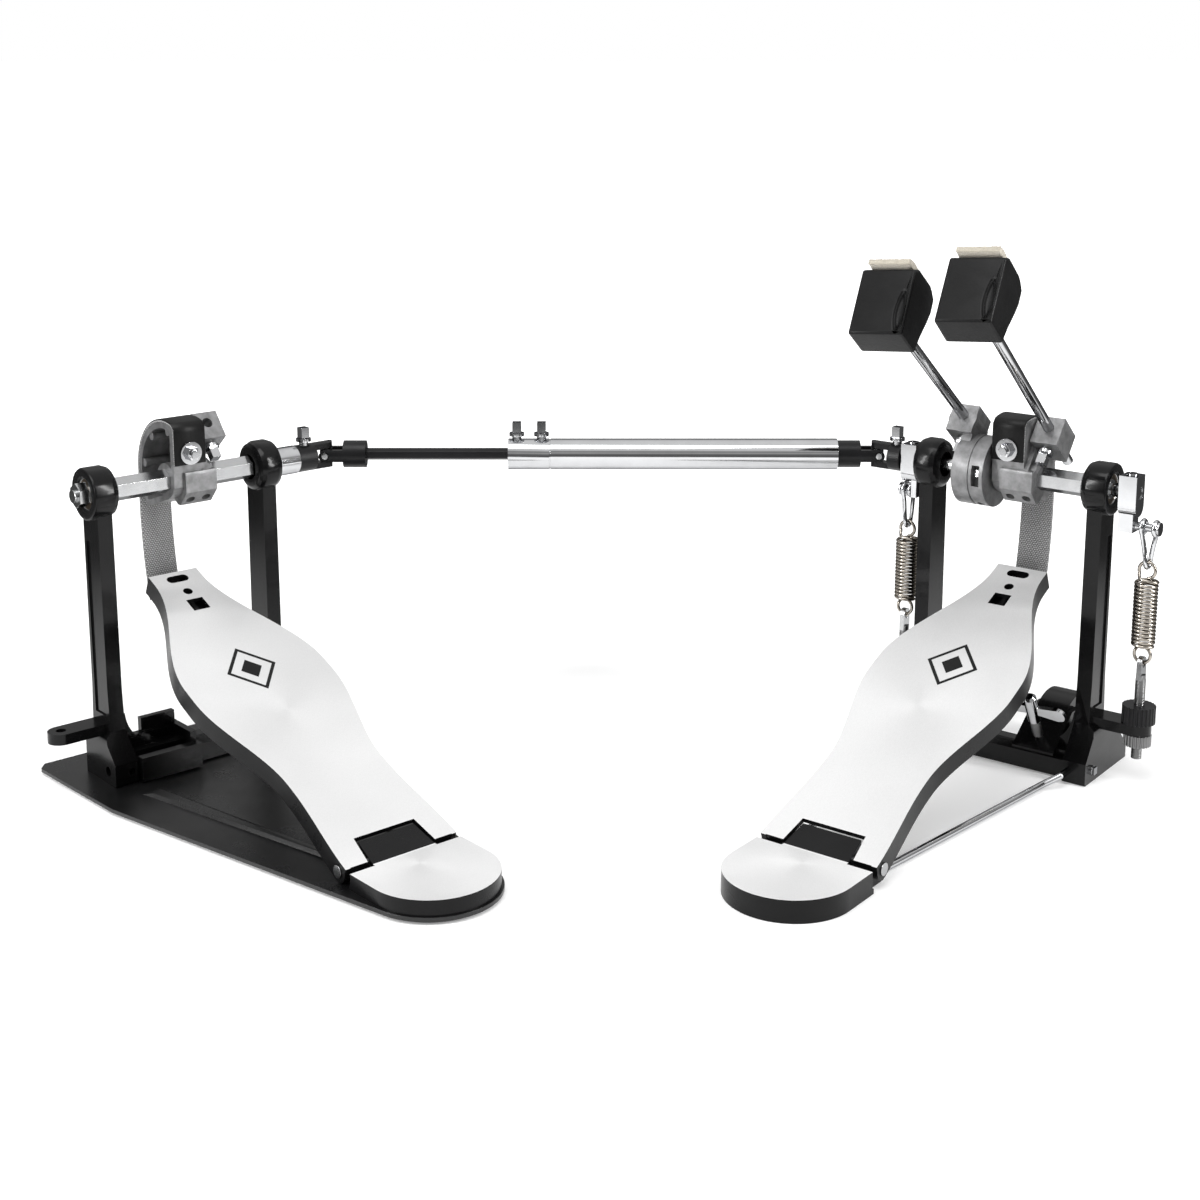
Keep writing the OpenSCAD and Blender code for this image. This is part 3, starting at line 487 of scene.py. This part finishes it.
def head_frame(side):
    """The frame of a beater head: across, away from the axle, along the rod."""
    u, lean, reach = BEATERS[side]
    rod = tilted(MAIN, lean, u, 0, AXLE)
    return shifted(rod, 0, ROD_OFF, reach) @ Matrix.Rotation(HEAD_TWIST, 4, "Z")


def felt(side):
    chance = random.Random(side)
    half = Vector((13, 2.7, 12.5))
    middle = Vector((0, 26.1, 14.5))
    count = 22
    lines = [2 * k / count - 1 for k in range(count + 1)]
    points, faces, seen = [], [], {}

    def point(x, y, z):
        """A point of the pad: narrower at its face, thinner at its rim and most at the top edge."""
        key = (round(x, 4), round(y, 4), round(z, 4))
        if key not in seen:
            seen[key] = len(points)
            rim, face = max(abs(x), abs(z)), max(y, 0)
            narrow = 1 - 0.05 * face ** 2
            thin = 1 - 0.16 * rim ** 6 - 0.55 * face * max(z, 0) ** 6
            q = Vector((x * narrow, y * thin, z * narrow)) * half
            lumps = noise.noise(q * 0.35) * 0.35 + noise.noise(q * 1.3) * 0.12
            points.append(middle + q + Vector((x, y, z)).normalized() * lumps)
        return seen[key]

    for axis in range(3):
        for end in (-1, 1):
            for i in range(count):
                for j in range(count):
                    corners = [(lines[i], lines[j]), (lines[i + 1], lines[j]),
                               (lines[i + 1], lines[j + 1]), (lines[i], lines[j + 1])]
                    quad = [point(*c[:axis], end, *c[axis:]) for c in corners]
                    faces.append(tuple(quad if (end > 0) == (axis != 1) else reversed(quad)))
    for _ in range(FIBRES):
        x, z = chance.uniform(-1, 1), chance.uniform(-1, 1)
        edge = Vector(chance.choice([(x, 1, z),
                                     (x, chance.uniform(-0.6, 1), chance.choice((-1, 1))),
                                     (chance.choice((-1, 1)), chance.uniform(-0.6, 1), z)]))
        root = middle + edge * half * 0.97
        way = (edge + Vector([chance.uniform(-1.6, 1.6) for _ in range(3)])).normalized()
        curl = Vector([chance.uniform(-1, 1) for _ in range(3)])
        length, thick = chance.uniform(0.8, 2.2), chance.uniform(0.03, 0.06)
        line = [root + way * length * t + curl * length * 0.4 * t * t for t in (0, 0.35, 0.7, 1)]
        start = len(points)
        more, sides = swept(line, thick, 3)
        points += more
        faces += [tuple(start + k for k in f) for f in sides]
    obj = piece(side + "_felt", head_frame(side), points, faces, [FELT], "felt")
    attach(obj, side + "_head")
    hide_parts(side + "_beater_felt")


for side in BEATERS:
    felt(side)


# Printed rhombus on each footboard: an outline with a small solid one inside
MARK_MIDDLE, MARK_LIFT, MARK_WIDTH = 167.5, 0.04, 0.82


def mark(side, place):
    plane = tilted(place, BOARD_TILT, 0, HINGE_V, HEEL_TOP)

    def corners(r):
        ways = ((MARK_WIDTH, 0), (0, 1), (-MARK_WIDTH, 0), (0, -1))
        return [Vector((r * x, MARK_MIDDLE + r * y, MARK_LIFT)) for x, y in ways]

    points = corners(20) + corners(16.8) + corners(8.5)
    faces = [(k, (k + 1) % 4, 4 + (k + 1) % 4, 4 + k) for k in range(4)] + [(8, 9, 10, 11)]
    obj = piece(side + "_board_mark", plane, points, faces, [PRINT], "board_alloy", smooth=False)
    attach(obj, side + "_board")


for side, place in PEDALS.items():
    mark(side, place)


# Threads: a helical ridge of 1 mm pitch that stands just proud of each plain CAD shank
THREAD_ROOT, THREAD_CREST = 2.97, 3.22


def thread(name, place, body, length):
    """A thread along +z of the frame place, starting at its origin."""
    sides, per_turn = 20, 5
    rings = []
    for i in range(length * per_turn + 1):
        height = i / per_turn
        ring = []
        for k in range(sides):
            wave = abs((height - k / sides) % 1.0 - 0.5) * 2
            r = THREAD_ROOT + (THREAD_CREST - THREAD_ROOT) * wave
            ring.append(on_circle((0, 0, height), r, 360 * k / sides, ACROSS, AHEAD))
        rings.append(ring)
    obj = piece(name, place, *skin(rings), [CUT], "chrome")
    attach(obj, body)


for side, u in SPRINGS.items():
    thread(side + "_stud_thread", shifted(MAIN, u, 0, STUD_LOW), "main_base", STUD_TOP - STUD_LOW)
bolt = tilted(MAIN, BOLT_TILT, *BOLT_AT)
thread("wing_bolt_thread", shifted(bolt, 0, 0, BOLT_THREAD_START), "wing", BOLT_THREAD_LENGTH)


# ---------- studio ----------
scene.view_settings.view_transform = "Standard"
camera = bpy.data.objects.new("camera", bpy.data.cameras.new("camera"))
scene.collection.objects.link(camera)
# Fitted to the photograph: the camera looks down 0.2 radians, through a shifted lens
camera.data.lens = 55.88
camera.data.sensor_width = 36
camera.data.shift_y = -0.151
camera.location = (0.0042, -1.03775, 0.44245)
camera.rotation_euler = (math.pi / 2 - 0.2, 0, 0)
scene.camera = camera

world = bpy.data.worlds.new("studio")
scene.world = world
world.use_nodes = True
tree = world.node_tree
direction = tree.nodes.new("ShaderNodeTexCoord").outputs["Generated"]
split = tree.nodes.new("ShaderNodeSeparateXYZ")
tree.links.new(direction, split.inputs[0])


def surround(strength, *stops):
    """A room whose grey depends on height: stops are (height of the direction, grey)."""
    ramp = tree.nodes.new("ShaderNodeValToRGB")
    ramp.color_ramp.interpolation = "B_SPLINE"
    tree.links.new(split.outputs["Z"], ramp.inputs["Fac"])
    while len(ramp.color_ramp.elements) < len(stops):
        ramp.color_ramp.elements.new(0.5)
    for element, (at, grey) in zip(ramp.color_ramp.elements, stops):
        element.position = at
        element.color = (grey, grey, grey, 1)
    room = tree.nodes.new("ShaderNodeBackground")
    tree.links.new(ramp.outputs["Color"], room.inputs["Color"])
    room.inputs["Strength"].default_value = strength
    return room.outputs[0]


def either(test, if_true, if_false):
    mix = tree.nodes.new("ShaderNodeMixShader")
    tree.links.new(test, mix.inputs[0])
    tree.links.new(if_false, mix.inputs[1])
    tree.links.new(if_true, mix.inputs[2])
    return mix.outputs[0]


# The room is white to the camera, banded in reflections, and brighter above for all other light
path = tree.nodes.new("ShaderNodeLightPath").outputs
fill = surround(0.72, (0.0, 0.15), (0.2, 0.3), (0.5, 0.95), (0.8, 1.0))
mirrored = surround(0.9, (0.0, 0.3), (0.1, 0.03), (0.28, 0.7), (0.44, 0.08), (0.6, 0.95), (0.85, 1.0))
white = surround(1.0, (0.0, 1.0), (1.0, 1.0))
tree.links.new(either(path["Is Camera Ray"], white, either(path["Is Glossy Ray"], mirrored, fill)),
               tree.nodes["World Output"].inputs[0])


def softbox(name, at, toward, size, power):
    light = bpy.data.lights.new(name, "AREA")
    light.shape = "RECTANGLE"
    light.size, light.size_y = size
    light.energy = power
    box = bpy.data.objects.new(name, light)
    scene.collection.objects.link(box)
    box.location = at
    box.rotation_euler = (Vector(toward) - Vector(at)).to_track_quat("-Z", "Y").to_euler()


softbox("left_strip", (-1.5, -0.7, 0.75), (0, 0, 0.12), (0.16, 1.3), 20)
softbox("right_strip", (1.5, -0.6, 0.75), (0, 0, 0.12), (0.16, 1.3), 20)
softbox("key", (-0.3, -0.6, 2.1), (0, 0, 0.1), (1.5, 1.0), 19)

floor_mesh = bpy.data.meshes.new("floor")
floor_mesh.from_pydata([(-40, -40, 0), (40, -40, 0), (40, 40, 0), (-40, 40, 0)], [], [(0, 1, 2, 3)])
floor = bpy.data.objects.new("floor", floor_mesh)
floor.location.z = -0.0002
scene.collection.objects.link(floor)
# White paper that glows more with distance, so that no horizon shows, and fades out of reflections
paper = Shader("floor_white", (0.86, 0.86, 0.86), 0.9, Specular_IOR_Level=0.1, Emission_Color=(1, 1, 1, 1))
far = paper.add("ShaderNodeVectorMath", {"operation": "LENGTH"}, Vector=paper.coords).outputs["Value"]
glossy = paper.add("ShaderNodeLightPath").outputs["Is Glossy Ray"]
kept = paper.math("SUBTRACT", 1, paper.math("MULTIPLY", glossy, paper.span(far, 0, 0.94, 0.45, 0.8)))
tone = paper.math("MULTIPLY", paper.span(paper.noise(3), 0.855, 0.865), kept)
glow = paper.math("MULTIPLY", paper.span(far, 0.2, 1.0, 0.4, 1.3), kept)
paper.set(Base_Color=tone, Emission_Strength=glow)
floor_mesh.materials.append(paper.material)
